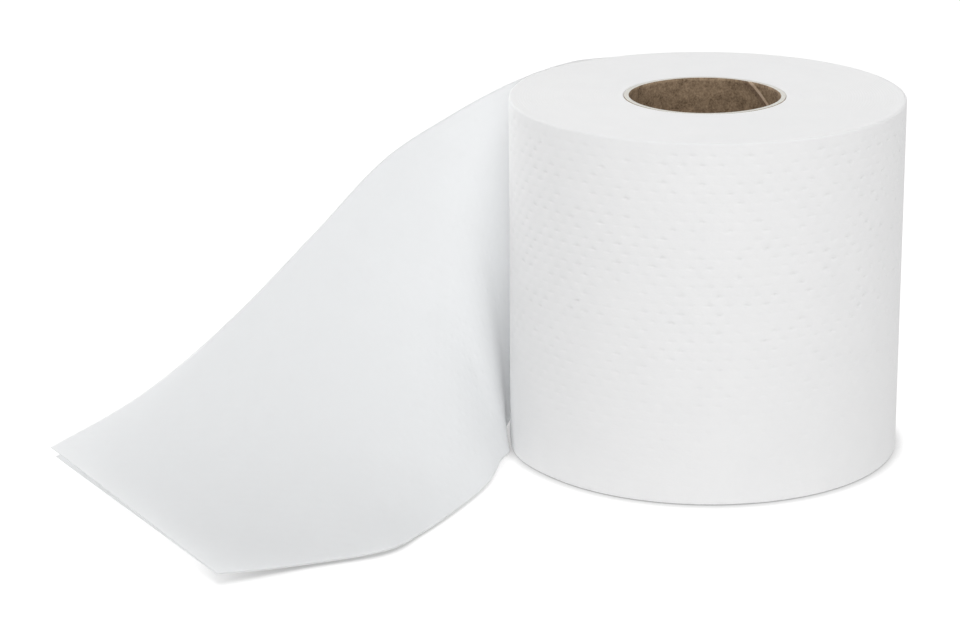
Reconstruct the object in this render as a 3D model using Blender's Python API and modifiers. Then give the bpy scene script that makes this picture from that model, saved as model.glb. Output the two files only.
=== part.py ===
# Toilet paper roll standing on its end: a two-ply web wound on a cardboard tube, with the last
# sheet and a half unwound at the left, falling outward until its free end lies nearly flat.
# Metres, +Z up. The roll is modelled about its own axis and the whole is then placed so that the
# middle of its outline lies on the origin.

import math

import bmesh
import bpy
import numpy as np

# Wound roll
roll_radius = 0.055
roll_height = 0.100
edge_round = 0.0005
bore_round = 0.0004

# Turns that show on the two ends, each one standing for several turns of the real web
turns_shown = 11
turn_drop = 0.00025
turn_step_run = 0.0003
first_land = 0.0006
outer_land = 0.0030

# Cardboard tube, wound from strips of board on a slant
core_inner_radius = 0.02100
core_wall = 0.0013
core_gap = 0.0003
core_offset = 0.0005
seam_step = 0.00025
seam_lead = 0.096
seam_start_angle = 52.0

# Unwound web
web_thickness = 0.0006
web_clearance = 0.0004
web_edge_inset = 0.0002
tail_run = 0.128
root_depth = 0.0016
root_shallow = 0.0004
root_angle = 92.0
root_shallow_angle = 105.0
leave_angle = 118.0
limb_angle = 186.0
ply_opening = 0.0032

# Points closer than this are one point
merge_distance = 0.00001

# How finely the round and flowing shapes are divided
roll_columns = 64
edge_steps = 4
core_columns = 36
tail_columns = 46
tail_rows = 10
fork_columns = 12
roll_contact_stations = 5

# Shares along the web, from where it leaves the roll (0) to its free end (1)
root_share = -0.12
root_shallow_share = -0.06
limb_share = 0.33

# Lower edge past the roll's left side: share along the web, then the distance outward and forward
# as shares of tail_run, and the height as a share of the web's width
lower_edge_shares = (
    (0.42, 0.005, 0.180, 0.005),
    (0.52, 0.025, 0.335, 0.005),
    (0.62, 0.080, 0.495, 0.005),
    (0.72, 0.140, 0.630, 0.005),
    (0.80, 0.195, 0.730, 0.010),
    (0.90, 0.360, 0.820, 0.010),
    (1.00, 0.515, 0.915, 0.030),
)

# Upper edge, which falls away from the roll and down to the free end
upper_edge_shares = (
    (0.10, -0.105, -0.300, 1.000),
    (0.20, 0.020, -0.235, 0.955),
    (0.30, 0.150, -0.215, 0.865),
    (0.40, 0.280, -0.205, 0.755),
    (0.55, 0.445, -0.100, 0.550),
    (0.70, 0.605, 0.070, 0.365),
    (0.85, 0.785, 0.220, 0.190),
    (1.00, 0.970, 0.305, 0.060),
)

# How far the middle of the web stands towards the roll, as a share of its width
belly_shares = (
    (0.00, 0.000),
    (0.20, 0.030),
    (0.35, 0.055),
    (0.50, 0.045),
    (0.75, 0.015),
    (1.00, 0.000),
)

# The plies part most at the far corner of the free end and least at the near one
near_opening_share = 0.15

# Values that follow from those above
core_outer_radius = core_inner_radius + core_wall
paper_bore_radius = core_outer_radius + core_gap
web_width = roll_height - 2 * web_edge_inset
web_middle_radius = roll_radius + web_clearance + web_thickness / 2


def clear_scene():
    for thing in list(bpy.data.objects):
        bpy.data.objects.remove(thing, do_unlink=True)


def new_collection(name):
    collection = bpy.data.collections.new(name)
    bpy.context.scene.collection.children.link(collection)
    return collection


def make_material(name, colour, roughness):
    material = bpy.data.materials.new(name)
    material.use_nodes = True
    shader = material.node_tree.nodes["Principled BSDF"]
    shader.inputs["Base Color"].default_value = (*colour, 1.0)
    shader.inputs["Roughness"].default_value = roughness
    shader.inputs["Metallic"].default_value = 0.0
    return material


def make_object(name, points, faces, collection, material, sharp_angle=35.0):
    mesh = bpy.data.meshes.new(name)
    mesh.from_pydata([tuple(point) for point in points], [], faces)
    shape = bmesh.new()
    shape.from_mesh(mesh)
    bmesh.ops.recalc_face_normals(shape, faces=shape.faces)
    shape.to_mesh(mesh)
    shape.free()
    mesh.shade_smooth()
    mesh.set_sharp_from_angle(angle=math.radians(sharp_angle))
    mesh.materials.append(material)
    thing = bpy.data.objects.new(name, mesh)
    collection.objects.link(thing)
    return thing


def polar(angle, radius, height):
    turn = math.radians(angle)
    return (radius * math.cos(turn), radius * math.sin(turn), height)


def ring_points(radius, height, columns):
    return [polar(360.0 * i / columns, radius, height) for i in range(columns)]


def smooth_route(stations, shares):
    # A smooth curve through (share, value, value, ...) stations: on each stretch a cubic whose
    # slope at a station is the mean of the slopes on its two sides, weighted by their lengths
    table = np.array(stations)
    at = table[:, 0]
    value = table[:, 1:]
    step = np.diff(at)
    rise = np.diff(value, axis=0) / step[:, None]
    slope = np.empty_like(value)
    before, after = step[:-1, None], step[1:, None]
    slope[1:-1] = (rise[:-1] * after + rise[1:] * before) / (before + after)
    slope[0] = 1.5 * rise[0] - 0.5 * slope[1]
    slope[-1] = 1.5 * rise[-1] - 0.5 * slope[-2]
    i = np.clip(np.searchsorted(at, shares) - 1, 0, len(at) - 2)
    w = ((shares - at[i]) / step[i])[:, None]
    span = step[i][:, None]
    start = (2 * w**3 - 3 * w**2 + 1) * value[i] + (w**3 - 2 * w**2 + w) * span * slope[i]
    end = (3 * w**2 - 2 * w**3) * value[i + 1] + (w**3 - w**2) * span * slope[i + 1]
    return start + end


def wound_point(angle, radius, height):
    # The tube stands a little to the left of the roll's axis. Turns next to it share its centre,
    # and the outermost one has the roll's
    x, y, z = polar(angle, radius, height)
    wound_share = (radius - paper_bore_radius) / (roll_radius - paper_bore_radius)
    return (x - core_offset * (1 - wound_share), y, z)


def wound_ring(radius, height):
    return [wound_point(360.0 * i / roll_columns, radius, height) for i in range(roll_columns)]


def spiral_radius(station, first_radius, pitch):
    return first_radius + pitch * station / roll_columns


def step_depth(station, last_station):
    # The step between turns fades out over a quarter turn at both ends of the spiral
    fade = roll_columns / 4
    return turn_drop * min(1.0, station / fade, (last_station - station) / fade)


def wound_half():
    # Upper half of the wound paper, open at mid height. Its end is one long spiral step: crest
    # stations run round and outward, and each turn rises from the valley beside the one before
    top = roll_height / 2
    columns = roll_columns
    mouth_radius = paper_bore_radius + bore_round
    first_radius = mouth_radius + first_land
    shoulder_radius = roll_radius - edge_round
    land_radius = shoulder_radius - outer_land
    pitch = (land_radius - first_radius) / (turns_shown + 1)
    last = turns_shown * columns
    points = []
    faces = []

    def add(new_points):
        start = len(points)
        points.extend(new_points)
        return start

    def join_rings(a, b):
        for i in range(columns):
            j = (i + 1) % columns
            faces.append((a + i, a + j, b + j, b + i))

    bore_middle = add(wound_ring(paper_bore_radius, 0))
    bore_top = add(wound_ring(paper_bore_radius, top - bore_round))
    mouth = add(wound_ring(mouth_radius, top))
    crest = len(points)
    for k in range(last + 1):
        add([wound_point(360.0 * k / columns, spiral_radius(k, first_radius, pitch), top)])
    valley = len(points)
    for k in range(last + 1):
        radius = spiral_radius(k, first_radius, pitch) + turn_step_run
        add([wound_point(360.0 * k / columns, radius, top - step_depth(k, last))])
    land = add(wound_ring(land_radius, top))
    shoulder = add(wound_ring(shoulder_radius, top))

    join_rings(bore_middle, bore_top)
    join_rings(bore_top, mouth)
    for k in range(columns - 1):
        faces.append((mouth + k, mouth + k + 1, crest + k + 1, crest + k))
    before_start = crest + columns - 1
    for a, b in ((mouth + columns - 1, mouth), (mouth, crest), (crest, valley), (valley, crest + columns)):
        faces.append((a, b, before_start))
    for k in range(last):
        faces.append((crest + k, crest + k + 1, valley + k + 1, valley + k))
    for k in range(last - columns):
        after = k + columns
        faces.append((valley + k, valley + k + 1, crest + after + 1, crest + after))
    for k in range(last - columns, last):
        i = k % columns
        j = (i + 1) % columns
        faces.append((valley + k, valley + k + 1, land + j, land + i))
    for a, b in ((crest + last, valley + last), (valley + last, land)):
        faces.append((valley + last - columns, a, b))
    join_rings(land, shoulder)

    previous = shoulder
    for step in range(1, edge_steps + 1):
        turn = math.pi / 2 * step / edge_steps
        radius = shoulder_radius + edge_round * math.sin(turn)
        height = top - edge_round * (1 - math.cos(turn))
        current = add(wound_ring(radius, height))
        join_rings(previous, current)
        previous = current
    wall_middle = add(wound_ring(roll_radius, 0))
    join_rings(previous, wall_middle)
    return points, faces


def edge_stations(height, free_shares, contact_stations):
    # Stations of one edge of the web: rooted in the roll, then along it, then free
    stations = [
        (root_share, *polar(root_angle, roll_radius - root_depth, height)),
        (root_shallow_share, *polar(root_shallow_angle, roll_radius - root_shallow, height)),
    ]
    for k in range(contact_stations):
        part = k / max(contact_stations - 1, 1)
        angle = leave_angle + part * (limb_angle - leave_angle)
        stations.append((limb_share * part, *polar(angle, web_middle_radius, height)))
    for share, outward, forward, rise in free_shares:
        x = -roll_radius - outward * tail_run
        y = -forward * tail_run
        stations.append((share, x, y, rise * web_width))
    return stations


def web_surface(along, across):
    # The middle of the web: straight from edge to edge, plus a belly towards the roll. Where the
    # free web would pass through the roll, it lies against the wall instead
    low = web_edge_inset
    high = web_edge_inset + web_width
    lower = smooth_route(edge_stations(low, lower_edge_shares, roll_contact_stations), along)
    upper = smooth_route(edge_stations(high, upper_edge_shares, 1), along)
    belly = smooth_route(belly_shares, np.clip(along, 0, 1)) * web_width
    facing = unit(np.cross(upper - lower, np.gradient(lower + upper, axis=0)))
    v = across[None, :, None]
    flat = lower[:, None] * (1 - v) + upper[:, None] * v
    surface = flat + 4 * v * (1 - v) * belly[:, None] * facing[:, None]
    reach = np.hypot(surface[..., 0], surface[..., 1])
    push = np.where((along >= 0)[:, None], np.maximum(web_middle_radius / reach, 1), 1)
    surface[..., :2] *= push[..., None]
    return surface


def unit(vectors):
    return vectors / np.linalg.norm(vectors, axis=-1, keepdims=True)


def web_tail():
    # The web as one closed loft. Up to the fork it has an inner and an outer face. Past it the
    # two plies part: a slot opens between them, widest at the far corner of the free end
    along = np.linspace(root_share, 1, tail_columns + 1)
    across = np.linspace(0, 1, tail_rows + 1)
    middle = web_surface(along, across)
    facing = unit(np.cross(np.gradient(middle, axis=1), np.gradient(middle, axis=0)))
    fork = tail_columns - fork_columns
    opened = np.clip((np.arange(tail_columns + 1) - fork) / fork_columns, 0, 1) ** 1.5
    spread = near_opening_share + (1 - near_opening_share) * across
    half_gap = (opened[:, None] * spread[None, :] * ply_opening / 2)[..., None]
    layers = {
        "inner": middle + facing * (half_gap + web_thickness / 2),
        "inner_back": middle + facing * half_gap,
        "outer_back": middle - facing * half_gap,
        "outer": middle - facing * (half_gap + web_thickness / 2),
    }
    rows = tail_rows + 1
    points = []
    start = {}
    for name, grid in layers.items():
        start[name] = len(points)
        points.extend(grid.reshape(-1, 3).tolist())

    def at(name, i, j):
        # Both sides of the slot share their points where it begins
        if name == "outer_back" and i == fork:
            name = "inner_back"
        return start[name] + i * rows + j

    faces = []
    for i in range(tail_columns):
        for j in range(tail_rows):
            for name in ("inner", "outer"):
                faces.append(tuple(at(name, i + a, j + b) for a, b in ((0, 0), (1, 0), (1, 1), (0, 1))))
    for i in range(fork, tail_columns):
        for j in range(tail_rows):
            for name in ("inner_back", "outer_back"):
                faces.append(tuple(at(name, i + a, j + b) for a, b in ((0, 0), (1, 0), (1, 1), (0, 1))))
    for j in range(tail_rows):
        faces.append((at("inner", 0, j), at("inner", 0, j + 1), at("outer", 0, j + 1), at("outer", 0, j)))
        for face, back in (("inner", "inner_back"), ("outer", "outer_back")):
            faces.append(
                (
                    at(face, tail_columns, j),
                    at(face, tail_columns, j + 1),
                    at(back, tail_columns, j + 1),
                    at(back, tail_columns, j),
                )
            )
    for j in (0, tail_rows):
        for i in range(fork):
            rim = [at("inner", i, j), at("inner", i + 1, j), at("outer", i + 1, j), at("outer", i, j)]
            if i + 1 == fork:
                rim.insert(2, at("inner_back", fork, j))
            faces.append(tuple(rim))
        for i in range(fork, tail_columns):
            for face, back in (("inner", "inner_back"), ("outer", "outer_back")):
                faces.append((at(face, i, j), at(face, i + 1, j), at(back, i + 1, j), at(back, i, j)))
    return drop_unused(points, faces)


def drop_unused(points, faces):
    used = sorted({index for face in faces for index in face})
    place = {old: new for new, old in enumerate(used)}
    return [points[old] for old in used], [tuple(place[index] for index in face) for face in faces]


def cardboard_tube():
    # The bore's cells lean with the winding, one column for each level, so that the lapped strip
    # of board runs up the bore as a clean spiral: a step, one column of lap, then a ramp back
    columns = core_columns
    cell_height = seam_lead / columns
    levels = max(1, round(roll_height / cell_height))
    column_angle = 360.0 / columns
    foot_angle = seam_start_angle - levels * column_angle
    points = []
    for height in (0, roll_height):
        points.extend(ring_points(core_outer_radius, height, columns))
    bore = len(points)
    row = columns + 1
    for level in range(levels + 1):
        height = roll_height * level / levels
        for i in range(row):
            lapped = i in (0, 1)
            radius = core_inner_radius - (seam_step if lapped else 0)
            angle = foot_angle + (i + level) * column_angle
            points.append(polar(angle, radius, height))
    faces = []
    for i in range(columns):
        j = (i + 1) % columns
        faces.append((i, j, columns + j, columns + i))
    for level in range(levels):
        for i in range(columns):
            here = bore + level * row + i
            above = here + row
            faces.append((here, here + 1, above))
            faces.append((here + 1, above + 1, above))
        seam_foot = bore + level * row
        seam_head = seam_foot + row
        faces.append((seam_foot, seam_foot + columns, seam_head + columns, seam_head))
    for level, ring in ((0, 0), (levels, columns)):
        inner = bore + level * row
        turned = round((foot_angle + level * column_angle) / column_angle)
        step_top = inner + columns
        faces.append((inner, inner + 1, step_top))
        for i in range(columns):
            a = ring + (i + turned) % columns
            b = ring + (i + 1 + turned) % columns
            from_point = inner + i if i else step_top
            faces.append((from_point, inner + i + 1, b, a))
    return points, faces


def add_modifier(thing, name, kind, **settings):
    modifier = thing.modifiers.new(name, kind)
    for key, value in settings.items():
        setattr(modifier, key, value)
    return modifier


def outline_middle(things):
    # Middle of the finished outline, seen from above
    bpy.context.view_layer.update()
    graph = bpy.context.evaluated_depsgraph_get()
    low = np.full(3, np.inf)
    high = np.full(3, -np.inf)
    for thing in things:
        solid = thing.evaluated_get(graph)
        mesh = solid.to_mesh()
        flat = np.empty(len(mesh.vertices) * 3)
        mesh.vertices.foreach_get("co", flat)
        placed = flat.reshape(-1, 3) + np.array(thing.matrix_world.translation)
        low = np.minimum(low, placed.min(axis=0))
        high = np.maximum(high, placed.max(axis=0))
        solid.to_mesh_clear()
    return (low + high) / 2


def build():
    clear_scene()
    parts = new_collection("toilet_paper_roll")
    cutters = new_collection("joined_shapes")
    tissue = make_material("white_tissue", (0.90, 0.90, 0.90), 0.95)
    board = make_material("kraft_board", (0.30, 0.20, 0.13), 0.90)

    axis = bpy.data.objects.new("roll_axis", None)
    parts.objects.link(axis)

    tail = make_object("web_tail", *web_tail(), cutters, tissue)
    tail.hide_render = True
    tail.display_type = "WIRE"
    tail.parent = axis

    roll = make_object("paper_roll", *wound_half(), parts, tissue)
    roll.parent = axis
    roll.location.z = roll_height / 2
    add_modifier(
        roll,
        "lower_half",
        "MIRROR",
        use_axis=(False, False, True),
        merge_threshold=merge_distance,
    )
    add_modifier(roll, "web", "BOOLEAN", operation="UNION", solver="EXACT", object=tail)

    core = make_object("cardboard_core", *cardboard_tube(), parts, board)
    core.parent = axis
    core.location.x = -core_offset

    middle = outline_middle((roll, core))
    axis.location = (-middle[0], -middle[1], 0)


build()
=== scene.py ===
import math

import bpy
import numpy as np
from mathutils import Matrix, Vector


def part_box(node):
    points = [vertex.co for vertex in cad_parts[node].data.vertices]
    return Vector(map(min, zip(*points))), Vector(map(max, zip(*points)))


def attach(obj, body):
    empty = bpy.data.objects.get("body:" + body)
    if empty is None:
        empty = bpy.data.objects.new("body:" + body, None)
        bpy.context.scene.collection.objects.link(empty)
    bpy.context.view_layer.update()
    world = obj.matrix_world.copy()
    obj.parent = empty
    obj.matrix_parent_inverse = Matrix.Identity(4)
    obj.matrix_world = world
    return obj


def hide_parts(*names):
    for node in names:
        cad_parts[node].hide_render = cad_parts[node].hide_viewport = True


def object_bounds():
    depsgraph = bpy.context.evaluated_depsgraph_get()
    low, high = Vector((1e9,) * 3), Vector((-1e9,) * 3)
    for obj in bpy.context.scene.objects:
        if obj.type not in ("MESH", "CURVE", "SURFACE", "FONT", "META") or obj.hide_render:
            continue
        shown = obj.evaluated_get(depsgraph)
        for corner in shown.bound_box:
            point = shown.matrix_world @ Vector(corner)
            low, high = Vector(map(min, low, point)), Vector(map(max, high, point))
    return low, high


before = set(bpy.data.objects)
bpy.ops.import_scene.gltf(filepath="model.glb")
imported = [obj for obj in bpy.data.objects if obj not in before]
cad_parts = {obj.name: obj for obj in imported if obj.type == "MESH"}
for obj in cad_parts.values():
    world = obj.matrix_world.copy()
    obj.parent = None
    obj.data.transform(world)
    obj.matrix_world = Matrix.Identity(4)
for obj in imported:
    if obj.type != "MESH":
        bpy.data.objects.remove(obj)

cadLow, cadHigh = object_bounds()
coreLow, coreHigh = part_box("cardboard_core")
mm = 0.001
tubeOffset = 0.5 * mm                    # the tube stands this far to the left of the roll's axis
rollAxis = (coreLow + coreHigh) / 2 + Vector((tubeOffset, 0, 0))
rollRadius = 55.0 * mm


# Arrays to meshes

def gridQuads(rows, columns, closed=False):
    # The corners of each cell of a grid, as indices (row x columns + column), rows and columns.
    # A closed grid joins its last row to its first and its last column to its first
    cellRows, cellColumns = (rows, columns) if closed else (rows - 1, columns - 1)
    i, j = np.meshgrid(np.arange(cellRows), np.arange(cellColumns), indexing="ij")
    i, j = i.ravel(), j.ravel()
    row = np.stack([i, i, i + 1, i + 1], 1) % rows
    column = np.stack([j, j + 1, j + 1, j], 1) % columns
    return row * columns + column, row, column


def makePiece(name, points, quads, materials, uv=None, faceMaterial=None):
    mesh = bpy.data.meshes.new(name)
    mesh.from_pydata(points.reshape(-1, 3).tolist(), [], quads.tolist())
    for material in materials:
        mesh.materials.append(material)
    if uv is not None:
        layer = mesh.uv_layers.new(name="flat")
        layer.data.foreach_set("uv", uv.astype(np.float32).ravel())
    if faceMaterial is not None:
        mesh.polygons.foreach_set("material_index", faceMaterial.astype(np.int32))
    mesh.shade_smooth()
    piece = bpy.data.objects.new(name, mesh)
    bpy.context.scene.collection.objects.link(piece)
    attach(piece, "root")
    return piece


def polarPoints(radius, angle, height):
    # a point at a radius and an angle (degrees) about the roll's axis, at a height above the floor
    turn = np.radians(angle)
    radius, turn, height = np.broadcast_arrays(radius, turn, height)
    return np.stack([rollAxis.x + radius * np.cos(turn), rollAxis.y + radius * np.sin(turn), height], -1)


def unit(vectors):
    return vectors / np.linalg.norm(vectors, axis=-1, keepdims=True)


def easing(x):
    # 0 below 0, 1 above 1, and 3x^2 - 2x^3 between them
    x = np.clip(x, 0, 1)
    return x * x * (3 - 2 * x)


# Shader maths

class Signal:
    # A node's output in a material. Arithmetic on it adds Math nodes; node() adds any other kind
    def __init__(self, tree, socket):
        self.tree = tree
        self.socket = socket

    def node(self, kind, settings=None, sockets=None, output=0):
        made = self.tree.nodes.new(kind)
        for key, value in (settings or {}).items():
            if key == "stops":
                self.setStops(made.color_ramp, value)
            else:
                setattr(made, key, value)
        for key, value in (sockets or {}).items():
            if isinstance(value, Signal):
                self.tree.links.new(value.socket, made.inputs[key])
            else:
                made.inputs[key].default_value = value
        return Signal(self.tree, made.outputs[output] if made.outputs else None)

    @staticmethod
    def setStops(greys, stops):
        for element, (place, level) in zip(greys.elements, stops):
            element.position = place
            element.color = (level, level, level, 1)

    def output(self, name):
        return Signal(self.tree, self.socket.node.outputs[name])

    def maths(self, operation, *values):
        return self.node("ShaderNodeMath", {"operation": operation}, dict(enumerate(values)))

    def __add__(self, other):
        return self.maths("ADD", self, other)

    def __sub__(self, other):
        return self.maths("SUBTRACT", self, other)

    def __rsub__(self, other):
        return self.maths("SUBTRACT", other, self)

    def __mul__(self, other):
        return self.maths("MULTIPLY", self, other)

    __radd__ = __add__
    __rmul__ = __mul__


def newMaterial(name):
    material = bpy.data.materials.new(name)
    material.use_nodes = True
    material.node_tree.nodes.clear()
    return material, Signal(material.node_tree, None)


def noise(shader, where, scale, detail=3.0, roughness=0.55):
    sockets = {"Vector": where, "Scale": scale, "Detail": detail, "Roughness": roughness}
    return shader.node("ShaderNodeTexNoise", {"noise_dimensions": "3D"}, sockets)


def blendColours(shader, amount, first, second):
    # first and second are colours, or signals that carry one
    first, second = (c if isinstance(c, Signal) else (*c, 1) for c in (first, second))
    return shader.node("ShaderNodeMix", {"data_type": "RGBA"}, {0: amount, 6: first, 7: second}, output=2)


def ramp(shader, amount, low, high):
    # 0 up to the low level, 1 from the high one, and straight between them
    return shader.node("ShaderNodeValToRGB", {"stops": ((low, 0), (high, 1))}, {"Fac": amount})


# Tissue: soft white paper with a fine, uneven fibre

tissueLook = {
    "colour": (0.915, 0.915, 0.917),
    "shade": (0.897, 0.898, 0.901),
    # painted brightening: the free web gets a whiter copy of the roll's paper, not a different paper
    "freeWebBrightColour": (0.986, 0.990, 0.993),
    "freeWebBrightShade": (0.980, 0.984, 0.987),
    "roughness": 0.95,
    "specular": 0.2,
    "sheen": 0.05,
    "fibreScale": 900.0,
    "fibreDetail": 4.0,
    "fibreShare": 0.4,       # of the tone, and the clouds give the rest
    "cloudScale": 95.0,
    "toneRange": (0.35, 0.65),
    "fibreHeight": 0.04 * mm,
    "cloudHeight": 0.12 * mm,
    "throughShare": 0.58,    # share of the light that each face of the free web lets through
    "freeRun": 50.0 * mm,    # length of web over which it changes from roll to free web
}


def tissueMaterial(name, stretch, free=False):
    # stretch lengthens the fibre along the web, which runs round the roll. On the free web the
    # paper is painted whiter than the same paper on the roll, a painted brightening for light, and
    # lets light through, from none where it still lies on the roll
    material, shader = newMaterial(name)
    place = shader.node("ShaderNodeTexCoord", output="Object")
    stretched = shader.node("ShaderNodeMapping", {}, {"Vector": place, "Scale": stretch})
    fibre = noise(shader, stretched, tissueLook["fibreScale"], tissueLook["fibreDetail"])
    cloud = noise(shader, place, tissueLook["cloudScale"])
    share = tissueLook["fibreShare"]
    tone = ramp(shader, cloud * (1 - share) + fibre * share, *tissueLook["toneRange"])
    colour = blendColours(shader, tone, tissueLook["shade"], tissueLook["colour"])
    height = fibre * tissueLook["fibreHeight"] + cloud * tissueLook["cloudHeight"]
    bump = shader.node("ShaderNodeBump", {}, {"Height": height, "Strength": 1.0, "Distance": 1.0})
    if free:
        flat = shader.node("ShaderNodeUVMap", {"uv_map": "flat"})
        along = shader.node("ShaderNodeSeparateXYZ", {}, {0: flat})
        freed = ramp(shader, along * (1 / tissueLook["freeRun"]), 0, 1)
        # painted brightening: the whiter copy of the paper for the free web
        white = blendColours(shader, tone, tissueLook["freeWebBrightShade"], tissueLook["freeWebBrightColour"])
        colour = blendColours(shader, freed, colour, white)
    surface = shader.node("ShaderNodeBsdfPrincipled", {}, {
        "Base Color": colour,
        "Roughness": tissueLook["roughness"],
        "Specular IOR Level": tissueLook["specular"],
        "Sheen Weight": tissueLook["sheen"],
        "Normal": bump,
    })
    if free:
        through = shader.node("ShaderNodeBsdfTranslucent", {}, {"Color": (*tissueLook["freeWebBrightColour"], 1)})
        amount = freed * tissueLook["throughShare"]
        surface = shader.node("ShaderNodeMixShader", {}, {0: amount, 1: surface, 2: through})
    shader.node("ShaderNodeOutputMaterial", {}, {"Surface": surface})
    return material


# Kraft board: grey-brown with darker specks, paler on its lap and where it is cut, with painted shade beside
# the lap's step

boardLook = {
    "dark": (0.146, 0.099, 0.058),
    "light": (0.488, 0.357, 0.238),
    # painted shade beside the lap's step: darker copies of the board's tones
    "lapShadeDark": (0.126, 0.082, 0.048),
    "lapShadeLight": (0.370, 0.262, 0.178),
    "lap": (0.60, 0.47, 0.36),
    "cut": (0.84, 0.83, 0.79),
    "cutShade": (0.68, 0.66, 0.60),
    "roughness": 0.88,
    "specular": 0.25,
    "detail": 4.0,
    "speckScale": 1700.0,
    "speckRoughness": 0.7,
    "speckShare": 0.60,      # of the tone, and the mottle gives the rest
    "mottleScale": 300.0,
    "mottleRoughness": 0.65,
    "toneRange": (0.36, 0.64),
    "speckHeight": 0.06 * mm,
    "mottleHeight": 0.12 * mm,
}


def boardMaterial(name, dark, light):
    material, shader = newMaterial(name)
    place = shader.node("ShaderNodeTexCoord", output="Object")
    detail = boardLook["detail"]
    speck = noise(shader, place, boardLook["speckScale"], detail, boardLook["speckRoughness"])
    mottle = noise(shader, place, boardLook["mottleScale"], detail, boardLook["mottleRoughness"])
    share = boardLook["speckShare"]
    tone = ramp(shader, mottle * (1 - share) + speck * share, *boardLook["toneRange"])
    colour = blendColours(shader, tone, dark, light)
    height = speck * boardLook["speckHeight"] + mottle * boardLook["mottleHeight"]
    bump = shader.node("ShaderNodeBump", {}, {"Height": height, "Strength": 1.0, "Distance": 1.0})
    surface = shader.node("ShaderNodeBsdfPrincipled", {}, {
        "Base Color": colour,
        "Roughness": boardLook["roughness"],
        "Specular IOR Level": boardLook["specular"],
        "Normal": bump,
    })
    shader.node("ShaderNodeOutputMaterial", {}, {"Surface": surface})
    return material


print("scene: materials")
wallTissue = tissueMaterial("tissue_wall", (1.0, 1.0, 2.2))
endTissue = tissueMaterial("tissue_ends", (1.0, 1.0, 1.0))
webTissue = tissueMaterial("tissue_web", (1.0, 1.0, 1.0), free=True)
board = boardMaterial("kraft_board", boardLook["dark"], boardLook["light"])
lapBoard = boardMaterial("kraft_lap", boardLook["light"], boardLook["lap"])
cutBoard = boardMaterial("cut_board", boardLook["cutShade"], boardLook["cut"])
# painted shade beside the lap's step
lapShadeBoard = boardMaterial("kraft_lap_painted_shade", boardLook["lapShadeDark"], boardLook["lapShadeLight"])


# Embossing: small dimples in staggered rows

dotField = {
    "aroundRoll": 136,       # half pitches round the roll, an even number so that the rows meet
    "halfWidth": 1.00 * mm,
    "halfHeight": 0.60 * mm,
    "depth": 0.46 * mm,
    "leastShare": 0.15,      # of that depth, in the faintest dots
    "baseShare": 0.15,       # near the base the dots are pressed flatter,
    "fullHeight": 60.0 * mm, # and from this height up they are whole
    "rimFade": 1.0 * mm,     # they fade out over this much of the wall at its two rims
    "edgeFade": 2.0 * mm,    # and over this much of the web at its two edges
    "margin": 0.1 * mm,      # no grid line comes nearer than this to a rim or an edge
    "rowShares": (-0.24, -0.12, 0.0, 0.12, 0.24),     # grid lines beside each row of dots
    "columnShares": (-0.30, 0.0, 0.30),
    "webRowShares": (-0.24, 0.0, 0.24),
}
halfPitch = 2 * math.pi * rollRadius / dotField["aroundRoll"]


def dotPlaces(low, high, shares):
    # Grid lines that follow the dots: at each whole number of half pitches, plus the given shares
    whole = np.arange(math.floor(low / halfPitch), math.ceil(high / halfPitch) + 1)
    places = ((whole[:, None] + np.array(shares)[None, :]) * halfPitch).ravel()
    return places[(places > low) & (places < high)]


def dimples(along, across):
    # How deep the embossing is at a place on the flat web. The rows are staggered, so on axes turned
    # by 45 degrees the dots stand at whole numbers. Each is an oval bowl, (1 + cos(pi r)) / 2 with r
    # from 0 at its middle to 1 at its rim, times a depth that differs from dot to dot: its luck is
    # the part after the point of a large number x sin(a sum of its two whole numbers)
    c, d = (along + across) / halfPitch / 2, (along - across) / halfPitch / 2
    nearC, nearD = np.round(c), np.round(d)
    offC, offD = c - nearC, d - nearD
    wide = (offC + offD) * halfPitch / dotField["halfWidth"]
    high = (offC - offD) * halfPitch / dotField["halfHeight"]
    luck = np.modf(np.abs(np.sin(nearC * 12.9898 + nearD * 78.233)) * 43758.5453)[0]
    least = dotField["leastShare"]
    strength = least + (1 - least) * luck
    bowl = 0.5 + 0.5 * np.cos(math.pi * np.minimum(np.hypot(wide, high), 1))
    return dotField["depth"] * strength * bowl


# Wound roll

roll = {
    "height": cadHigh.z - cadLow.z,
    "leaveAngle": 118.0,     # where the web leaves the outermost turn, in degrees about the axis
    "webStep": 0.45 * mm,    # the step in the wall there
    "softness": 0.16 * mm,
    "edgeRound": 0.55 * mm,
    "edgeRows": 4,
    "looseAngle": 203.0,
    "looseWidth": 12.0,
    "looseDepth": 0.7 * mm,
    "looseHeight": 55.0 * mm,
    "shellDepth": 1.6 * mm,  # the wall turns in by this much behind its rounds,
    "shellSink": 0.25 * mm,  # this far inside the two ends
    "boreRadius": 22.32 * mm,
}


def outerRadius(angle):
    # The outermost turn is one web thicker where it ends than where it began, and the soft roll
    # is a little out of round: radius = full size - web step x share of the turn left - slow waves
    share = ((angle - roll["leaveAngle"]) % 360) / 360
    turn = np.radians(angle)
    waves = 0.5 + 0.3 * np.sin(2 * turn + 0.7) + 0.2 * np.sin(5 * turn + 2.1)
    return rollRadius - roll["webStep"] * (1 - share) - roll["softness"] * waves * share * (1 - share)


def looseTurn(angle, height):
    # Low down beside the place where the web leaves, the outer turns stand off a little:
    # a bell over the angle, exp(-((angle - middle) / width)^2), that fades out with height
    bell = np.exp(-(((angle - roll["looseAngle"]) / roll["looseWidth"]) ** 2))
    return roll["looseDepth"] * bell * (1 - easing(height / roll["looseHeight"]))


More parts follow.
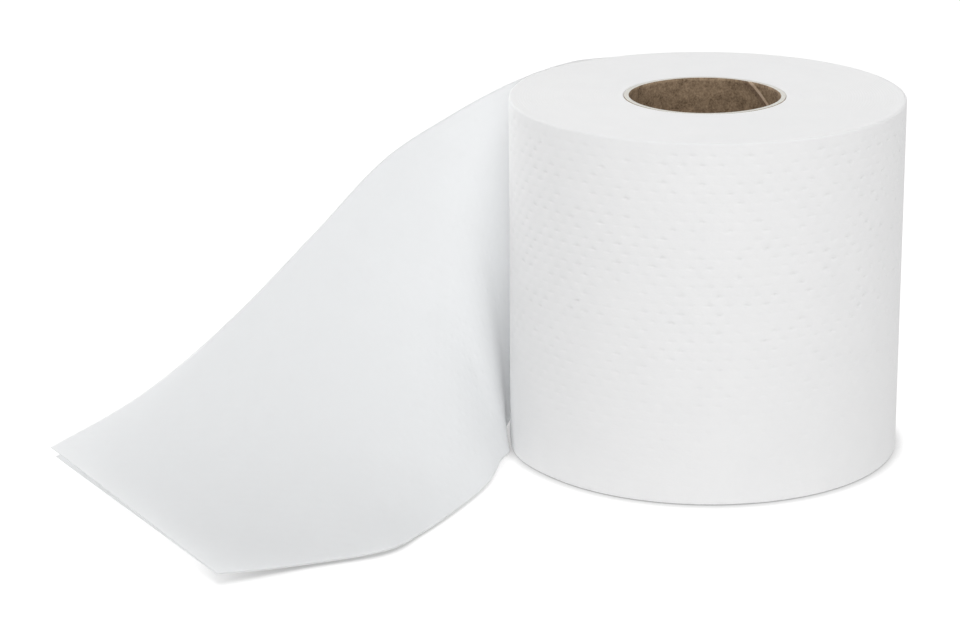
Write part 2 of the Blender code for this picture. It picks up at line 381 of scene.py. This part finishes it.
def wallOfRoll():
    # A closed section carried round the axis: lower round, wall, upper round, then straight back
    # down inside. The rounds are quarter circles, and the dimples are pressed in along the radius
    around = 2 * math.pi * rollRadius
    arc = dotPlaces(-halfPitch / 2, around - halfPitch / 2, dotField["columnShares"])
    angle = roll["leaveAngle"] + np.degrees(arc / rollRadius)
    quarter = np.linspace(0, math.pi / 2, roll["edgeRows"] + 1)
    edge, top = roll["edgeRound"], roll["height"]
    rising, falling = edge * (1 - np.cos(quarter)), edge * (1 - np.sin(quarter))
    firstRow, lastRow = edge + dotField["margin"], top - edge - dotField["margin"]
    wallHeight = dotPlaces(firstRow, lastRow, dotField["rowShares"])
    sink, depth = roll["shellSink"], roll["shellDepth"]
    height = np.concatenate([[sink], rising, wallHeight, top - falling, [top - sink]])
    inset = np.concatenate([[depth], falling, np.zeros(len(wallHeight)), rising, [depth]])
    fade = easing((height - edge) / dotField["rimFade"])
    fade *= easing((top - edge - height) / dotField["rimFade"])
    fade *= dotField["baseShare"] + (1 - dotField["baseShare"]) * easing(height / dotField["fullHeight"])
    height, inset, fade = height[:, None], inset[:, None], fade[:, None]
    radius = outerRadius(angle) - inset + looseTurn(angle, height) - dimples(arc, height) * fade
    quads = gridQuads(len(height), len(angle), closed=True)[0]
    return makePiece("roll_wall", polarPoints(radius, angle, height), quads, [wallTissue])


ends = {
    "columns": 384,
    "topRows": 168,
    "baseRows": 70,
    "turnPitch": 0.75 * mm,
    "turnDepth": 0.05 * mm,
    "bandDepth": 0.07 * mm,
    "sink": 0.01 * mm,       # even the highest turns lie this far inside the roll's height
    "mouthRound": 0.5 * mm,
    "mouthRows": 4,
    "mouthFade": 1.5 * mm,   # the turns fade in over this much beside the mouth,
    "rimFade": 2.0 * mm,     # and out over this much,
    "rimMargin": 0.5 * mm,   # to end this far inside the outer round
    "overlap": 0.25 * mm,    # the ends reach this far past the inner limit of the outer round
}


def turnRelief(radius, angle):
    # How far the wound end lies below its highest place: a shallow groove between one turn and
    # the next, on a spiral that moves out by one pitch a turn, plus slow waves that leave bands of
    # turns a little lower than others. It fades out at the mouth and at the outer round
    place = radius / ends["turnPitch"] - angle / 360
    groove = 0.5 - 0.5 * np.cos(2 * math.pi * place)
    turn = np.radians(angle)
    bands = 0.5 + 0.22 * np.sin(place * 0.83 + 0.4 * np.sin(turn)) + 0.28 * np.sin(place * 0.31 + 1.3)
    inner = easing((radius - roll["boreRadius"]) / ends["mouthFade"])
    outer = easing((rollRadius - roll["edgeRound"] - ends["rimMargin"] - radius) / ends["rimFade"])
    return (ends["turnDepth"] * groove + ends["bandDepth"] * bands) * inner * outer


def endsOfRoll():
    # A closed section carried round the axis: across the upper end, down the bore and across the
    # base. The turns next to the tube share its centre, the outermost has the roll's, and between
    # them shift = offset x (roll's radius - radius) / (roll's radius - bore's radius)
    angle = 360 * np.arange(ends["columns"]) / ends["columns"]
    inner = roll["boreRadius"]
    outer = rollRadius - roll["webStep"] - roll["edgeRound"] + ends["overlap"]
    mouth, top = ends["mouthRound"], roll["height"]
    quarter = np.linspace(0, math.pi / 2, ends["mouthRows"] + 1)[1:]
    drop, bore = mouth * (1 - np.cos(quarter)), inner + mouth * (1 - np.sin(quarter))
    upper = np.linspace(outer, inner + mouth, ends["topRows"])
    lower = np.linspace(inner + mouth, outer, ends["baseRows"])
    radius = np.concatenate([upper, bore, bore[::-1], lower])[:, None]
    height = np.concatenate([np.full(len(upper), top), top - drop, drop[::-1], np.zeros(len(lower))])
    inwards = np.concatenate([np.full(len(upper), -1), np.zeros(2 * len(bore)), np.ones(len(lower))])
    relief = (turnRelief(radius, angle) + ends["sink"]) * inwards[:, None]
    points = polarPoints(radius, angle, height[:, None] + relief)
    points[..., 0] -= tubeOffset * (rollRadius - radius) / (rollRadius - inner)
    quads = gridQuads(len(radius), ends["columns"], closed=True)[0]
    return makePiece("wound_ends", points, quads, [endTissue])


# Unwound web, the same route as the solid's

web = {
    "inset": 0.2 * mm,
    "length": 206.0 * mm,    # from where it leaves the roll, and all shares of length are of this
    "rootShare": -0.05,      # it begins this far before that, at this angle,
    "rootAngle": 107.0,
    "rootSink": 0.40 * mm,   # sunk this far into the wall
    "limbAngle": 197.0,      # its lower edge follows the roll round to this angle, on the left,
    "limbShare": 0.375,      # over this share of the length
    "contactStations": 5,
    "standOff": 1.5 * mm,
    "liftShare": 0.12,       # from here on it comes no nearer to the roll than the stand-off
    "plyThickness": 0.18 * mm,
    "plyGap": 0.04 * mm,
    "opening": 3.2 * mm,     # how much further apart the plies are at the upper end of the free edge
    "openShare": 0.72,       # they part from here on
    "dotShare": 0.35,        # of the dots' depth that is left on the free web,
    "dotFade": 60.0 * mm,    # over which length the rest fades
    "run": 128.0 * mm,
    # Each edge's stations: share of the length, then outward and forward as shares of the run, and
    # height as a share of the web's width
    "lowerShares": (
        (0.42, 0.005, 0.180, 0.005),
        (0.52, 0.025, 0.335, 0.005),
        (0.62, 0.080, 0.495, 0.005),
        (0.72, 0.140, 0.630, 0.005),
        (0.80, 0.195, 0.730, 0.010),
        (0.90, 0.360, 0.820, 0.010),
        (1.00, 0.515, 0.915, 0.030),
    ),
    "upperShares": (
        (0.10, -0.105, -0.300, 1.000),
        (0.20, 0.020, -0.235, 0.955),
        (0.30, 0.150, -0.215, 0.865),
        (0.40, 0.280, -0.205, 0.755),
        (0.55, 0.445, -0.100, 0.550),
        (0.70, 0.605, 0.070, 0.365),
        (0.85, 0.785, 0.220, 0.190),
        (1.00, 0.970, 0.305, 0.060),
    ),
    # Share of the length, and height of the belly as a share of the web's width
    "bellyShares": (
        (0.00, 0.000),
        (0.20, 0.030),
        (0.35, 0.055),
        (0.50, 0.045),
        (0.75, 0.015),
        (1.00, 0.000),
    ),
}
webWidth = roll["height"] - 2 * web["inset"]
flushDepth = web["plyThickness"] + web["plyGap"] / 2      # puts the web's outer face at the wall


def smoothRoute(stations, at):
    # A cubic through (share, values...) stations whose slope at a station is the mean of the
    # slopes on its two sides, weighted by their lengths
    table = np.array(stations)
    share, value = table[:, 0], table[:, 1:]
    step = np.diff(share)
    rise = np.diff(value, axis=0) / step[:, None]
    slope = np.empty_like(value)
    before, after = step[:-1, None], step[1:, None]
    slope[1:-1] = (rise[:-1] * after + rise[1:] * before) / (before + after)
    slope[0] = 1.5 * rise[0] - 0.5 * slope[1]
    slope[-1] = 1.5 * rise[-1] - 0.5 * slope[-2]
    i = np.clip(np.searchsorted(share, at) - 1, 0, len(share) - 2)
    w = ((at - share[i]) / step[i])[:, None]
    span = step[i][:, None]
    start = (2 * w**3 - 3 * w**2 + 1) * value[i] + (w**3 - 2 * w**2 + w) * span * slope[i]
    end = (3 * w**2 - 2 * w**3) * value[i + 1] + (w**3 - w**2) * span * slope[i + 1]
    return start + end


def edgeStations(height, freeShares, contactStations):
    # The web starts flush with the outermost turn, lifts to its stand-off by the roll's left side,
    # and from there goes through the free stations
    flush = rollRadius - flushDepth
    stations = [(web["rootShare"], *polarPoints(flush - web["rootSink"], web["rootAngle"], height))]
    for k in range(contactStations):
        part = k / max(contactStations - 1, 1)
        angle = roll["leaveAngle"] + part * (web["limbAngle"] - roll["leaveAngle"])
        radius = flush + (web["standOff"] + flushDepth) * part
        stations.append((web["limbShare"] * part, *polarPoints(radius, angle, height)))
    for share, outward, forward, rise in freeShares:
        x = rollAxis.x - rollRadius - outward * web["run"]
        y = rollAxis.y - forward * web["run"]
        stations.append((share, x, y, rise * webWidth))
    return stations


def webMiddle(along, across):
    # Straight from the lower edge to the upper one, plus a belly 4v(1 - v) towards the roll. Where
    # the web would pass through the roll, it lies against the wall instead
    low, high = web["inset"], web["inset"] + webWidth
    lower = smoothRoute(edgeStations(low, web["lowerShares"], web["contactStations"]), along)
    upper = smoothRoute(edgeStations(high, web["upperShares"], 1), along)
    belly = smoothRoute(web["bellyShares"], np.clip(along, 0, 1)) * webWidth
    facing = unit(np.cross(upper - lower, np.gradient(lower + upper, axis=0)))
    v = across[None, :, None]
    flat = lower[:, None] * (1 - v) + upper[:, None] * v
    surface = flat + 4 * v * (1 - v) * belly[:, None] * facing[:, None]
    axis = np.array(rollAxis)[:2]
    beside = surface[..., :2] - axis
    against = rollRadius - flushDepth + (web["standOff"] + flushDepth) * easing(along / web["liftShare"])
    push = np.maximum(against[:, None] / np.linalg.norm(beside, axis=-1), 1)
    surface[..., :2] = axis + beside * push[..., None]
    return surface


def plyOfWeb(name, side):
    # One ply: the web's middle moved along its normal by half a ply and half the gap, and by half
    # the opening where the plies part, then pressed with the same dimples as the wall. The lower ply
    # lies on the floor and the upper one on it
    start, end = web["rootShare"] * web["length"], web["length"]
    low, high = web["inset"], web["inset"] + webWidth
    margin = dotField["margin"]
    alongLines = dotPlaces(start + margin, end - margin, dotField["columnShares"])
    acrossLines = dotPlaces(low + margin, high - margin, dotField["webRowShares"])
    along = np.concatenate([[start], alongLines, [end]]) / web["length"]
    across = np.concatenate([[0], (acrossLines - low) / webWidth, [1]])
    middle = webMiddle(along, across)
    facing = unit(np.cross(np.gradient(middle, axis=1), np.gradient(middle, axis=0)))
    parted = easing((along - web["openShare"]) / (1 - web["openShare"]))[:, None] * across[None, :] ** 2
    offset = side * (web["plyThickness"] + web["plyGap"] + parted * web["opening"]) / 2
    pressed = dimples(along[:, None] * web["length"], across[None, :] * webWidth + low)
    inFromEdge = np.minimum(across, 1 - across)[None, :] * webWidth
    freed = easing(along * web["length"] / web["dotFade"])[:, None]
    pressed = pressed * (1 - (1 - web["dotShare"]) * freed) * easing(inFromEdge / dotField["edgeFade"])
    points = middle + facing * (offset + pressed)[..., None]
    below = (web["plyThickness"] + web["plyGap"]) if side > 0 else 0
    points[..., 2] = np.maximum(points[..., 2], web["plyThickness"] / 2 + below)
    quads, i, j = gridQuads(len(along), len(across))
    uv = np.stack([along[i] * web["length"], across[j] * webWidth], -1)
    piece = makePiece(name, points, quads, [webTissue], uv)
    wall = piece.modifiers.new("ply_thickness", "SOLIDIFY")
    wall.thickness = web["plyThickness"]
    wall.offset = 0
    return piece


# Cardboard tube

tube = {
    "inner": 21.0 * mm,
    "wall": 1.3 * mm,
    "lead": 96.0 * mm,
    "seamAngle": 52.0,       # where the lap reaches the upper end
    "lapStep": 0.22 * mm,
    "lapRise": 0.3 * mm,
    "lapWidth": 1.2 * mm,
    "lapRunOut": 4.0 * mm,   # past the lap, the step dies away over this much
    "lapShadeWidth": 2.4 * mm, # painted shade: a darker strip beside the lap's step
    "wornDepth": 0.07 * mm,  # how far the upper cut end lies below the roll's,
    "wornWaves": 0.05 * mm,  # give or take this much
    "plyMarks": 3,
    "markDepth": 0.09 * mm,
    "columns": 216,
    "rows": 96,
    "ringRows": 9,
}


def boardFinish(row, around):
    # Each cell's place in the list of boards, from its row in the section and how far round the
    # bore it lies: plain 0, lap 1, cut end 2, painted shade beside the lap 3
    inBore = row < tube["rows"] - 1
    outside = row == tube["rows"] + tube["ringRows"] - 2
    onLap = inBore & (around < tube["lapWidth"])
    inLapShade = inBore & (around < tube["lapWidth"] + tube["lapShadeWidth"])
    return np.select([onLap, inLapShade, inBore | outside], [1, 3, 0], 2)


def tubeOfBoard():
    # A closed section carried round the axis: up the bore, across the upper cut end, down the
    # outside and across the base. Its columns lean with the winding, so that the lapped strip runs
    # up the bore as a clean spiral: radius = bore - step x its rise x its dying away
    columns, top = tube["columns"], roll["height"]
    column = np.arange(columns)
    around = 2 * math.pi * tube["inner"] / columns * column
    rise = np.clip(around / tube["lapRise"], 0, 1)
    runOut = np.clip((tube["lapWidth"] + tube["lapRunOut"] - around) / tube["lapRunOut"], 0, 1)
    inner = tube["inner"] - tube["lapStep"] * (rise * runOut)
    outer = np.full(columns, tube["inner"] + tube["wall"])
    bore = np.linspace(0, top, tube["rows"])[:, None] + np.zeros(columns)
    worn = tube["wornWaves"] * np.sin(3 * np.radians(column * 360 / columns)) - tube["wornDepth"]
    bore[-1] += worn
    across = np.linspace(0, 1, tube["ringRows"])[1:-1, None]
    cut = inner + (outer - inner) * across
    marks = tube["markDepth"] * (0.5 - 0.5 * np.cos(2 * math.pi * tube["plyMarks"] * across))
    base = marks[::-1] + np.zeros(columns)
    radius = np.vstack([np.tile(inner, (tube["rows"], 1)), cut, outer, outer, cut[::-1]])
    height = np.vstack([bore, top + worn - marks, top + worn, np.zeros(columns), base])
    lean = 360 * np.clip(height, 0, top) / tube["lead"]
    angle = tube["seamAngle"] - 360 * top / tube["lead"] + lean + column * 360 / columns
    points = polarPoints(radius, angle, height)
    points[..., 0] -= tubeOffset
    quads, i, j = gridQuads(len(radius), columns, closed=True)
    finish = boardFinish(i[:, 0], around[j[:, 0]])
    return makePiece("board_tube", points, quads, [board, lapBoard, cutBoard, lapShadeBoard], faceMaterial=finish)


print("scene: roll")
rollWall = wallOfRoll()
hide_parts("paper_roll")
woundEnds = endsOfRoll()
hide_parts("paper_roll")

print("scene: web")
for plyName, plySide in (("web_upper_ply", 1), ("web_lower_ply", -1)):
    ply = plyOfWeb(plyName, plySide)
    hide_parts("paper_roll")

print("scene: tube")
boardTube = tubeOfBoard()
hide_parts("cardboard_core")


# Floor, light and camera

studio = {
    "floorSize": 12.0,
    "floorDrop": 0.2 * mm,                   # the floor lies this far below the roll
    "floorColour": (0.97, 0.97, 0.97, 1),
    "seenColour": (0.25, 0.25, 0.25, 1),     # the camera sees a darker paint, for a fainter shadow,
    "seenLift": 0.86,                        # and this much glow, which makes it white again
    "contactShadowReach": 3.5 * mm,                # painted contact shadow: the floor is darker this far from where the roll stands, with this share of the glow left in it
    "liftKept": 0.40,                        # with this share of the glow left in it
    "contactSamples": 12,
    "worldLevel": 0.468,
    "bounces": 16,
}

# Places and sizes in metres, powers in watts. Every lamp faces the origin
lamps = {
    "key": {"place": (0.0, -1.3, 1.8), "size": 1.5, "power": 20.0},
    "right": {"place": (1.6, -0.8, 1.0), "size": 1.5, "power": 3.0},
    "back": {"place": (-1.3, 1.3, 1.2), "size": 1.5, "power": 5.6},
    "low": {"place": (-0.9, 1.3, 0.35), "size": 0.8, "power": 9.5},      # shines through the web
}


def seenByCamera(shader):
    # 1 for what the camera sees directly, in a reflection or through glass, 0 for light on the
    # object. A ray that is spread as it passes through paper counts as light on the object
    path = shader.node("ShaderNodeLightPath", output="Is Camera Ray")
    clear = path.output("Is Transmission Ray") * (1 - path.output("Is Diffuse Ray"))
    return path + path.output("Is Glossy Ray") + clear


def makeFloor():
    # The glow is lift x (kept + (1 - kept) x openness), with openness 0 where the roll touches the
    # floor and 1 away from it. That openness also darkens the seen paint: a painted contact shadow
    mesh = bpy.data.meshes.new("floor")
    half, z = studio["floorSize"] / 2, -studio["floorDrop"]
    corners = [(-half, -half, z), (half, -half, z), (half, half, z), (-half, half, z)]
    mesh.from_pydata(corners, [], [(0, 1, 2, 3)])
    floor = bpy.data.objects.new("floor", mesh)
    bpy.context.scene.collection.objects.link(floor)
    material, shader = newMaterial("pale_floor")
    paint = shader.node("ShaderNodeBsdfDiffuse", {}, {"Color": studio["floorColour"]})
    # painted contact shadow: ambient occlusion darkens the floor's seen paint and glow near the roll
    contactShade = shader.node("ShaderNodeAmbientOcclusion", {"samples": studio["contactSamples"]}, {
        "Color": studio["seenColour"],
        "Distance": studio["contactShadowReach"],
    })
    seenPaint = shader.node("ShaderNodeBsdfDiffuse", {}, {"Color": contactShade})
    kept = studio["liftKept"]
    lift = (kept + contactShade.output("AO") * (1 - kept)) * studio["seenLift"]
    glow = shader.node("ShaderNodeEmission", {}, {"Strength": lift})
    lifted = shader.node("ShaderNodeAddShader", {}, {0: seenPaint, 1: glow})
    seen = shader.node("ShaderNodeMixShader", {}, {0: seenByCamera(shader), 1: paint, 2: lifted})
    shader.node("ShaderNodeOutputMaterial", {}, {"Surface": seen})
    mesh.materials.append(material)


def makeWorld():
    world = bpy.data.worlds.new("studio")
    world.use_nodes = True
    world.node_tree.nodes.clear()
    shader = Signal(world.node_tree, None)
    room = shader.node("ShaderNodeBackground", {}, {"Color": (1, 1, 1, 1), "Strength": studio["worldLevel"]})
    white = shader.node("ShaderNodeBackground", {}, {"Color": (1, 1, 1, 1), "Strength": 1.0})
    seen = shader.node("ShaderNodeMixShader", {}, {0: seenByCamera(shader), 1: room, 2: white})
    shader.node("ShaderNodeOutputWorld", {}, {"Surface": seen})
    bpy.context.scene.world = world


def makeLamp(name, place, size, power):
    light = bpy.data.lights.new(name, "AREA")
    light.size = size
    light.energy = power
    lamp = bpy.data.objects.new(name, light)
    lamp.location = place
    lamp.rotation_euler = (-Vector(place)).to_track_quat("-Z", "Y").to_euler()
    bpy.context.scene.collection.objects.link(lamp)


# The camera stands where a pinhole fitted to the rims of the roll and the tube puts it: metres back
# from the roll's axis and up from the floor, with angles in degrees, lens and sensor in millimetres
camera = {
    "lens": 112.5,
    "sensor": 36.0,
    "back": 0.80976,
    "up": 0.29145,
    "yaw": -4.464,
    "pitch": 17.466,
    "roll": -0.496,
}


def makeCamera():
    yaw, pitch, tilt = (math.radians(camera[key]) for key in ("yaw", "pitch", "roll"))
    forward = Vector((math.cos(pitch) * math.sin(yaw), math.cos(pitch) * math.cos(yaw), -math.sin(pitch)))
    level = forward.cross(Vector((0, 0, 1))).normalized()
    upright = level.cross(forward)
    right = level * math.cos(tilt) + upright * math.sin(tilt)
    up = upright * math.cos(tilt) - level * math.sin(tilt)
    data = bpy.data.cameras.new("photo_view")
    data.lens = camera["lens"]
    data.sensor_width = camera["sensor"]
    data.sensor_fit = "HORIZONTAL"
    eye = bpy.data.objects.new("photo_view", data)
    turned = Matrix((right, up, -forward)).transposed().to_4x4()
    place = Vector((rollAxis.x, rollAxis.y - camera["back"], camera["up"]))
    eye.matrix_world = Matrix.Translation(place) @ turned
    bpy.context.scene.collection.objects.link(eye)
    bpy.context.scene.camera = eye


print("scene: studio")
makeFloor()
makeWorld()
for lampName, lamp in lamps.items():
    makeLamp(lampName, **lamp)
makeCamera()
bpy.context.scene.view_settings.view_transform = "Standard"
bpy.context.scene.cycles.diffuse_bounces = studio["bounces"]     # white paper passes much light on
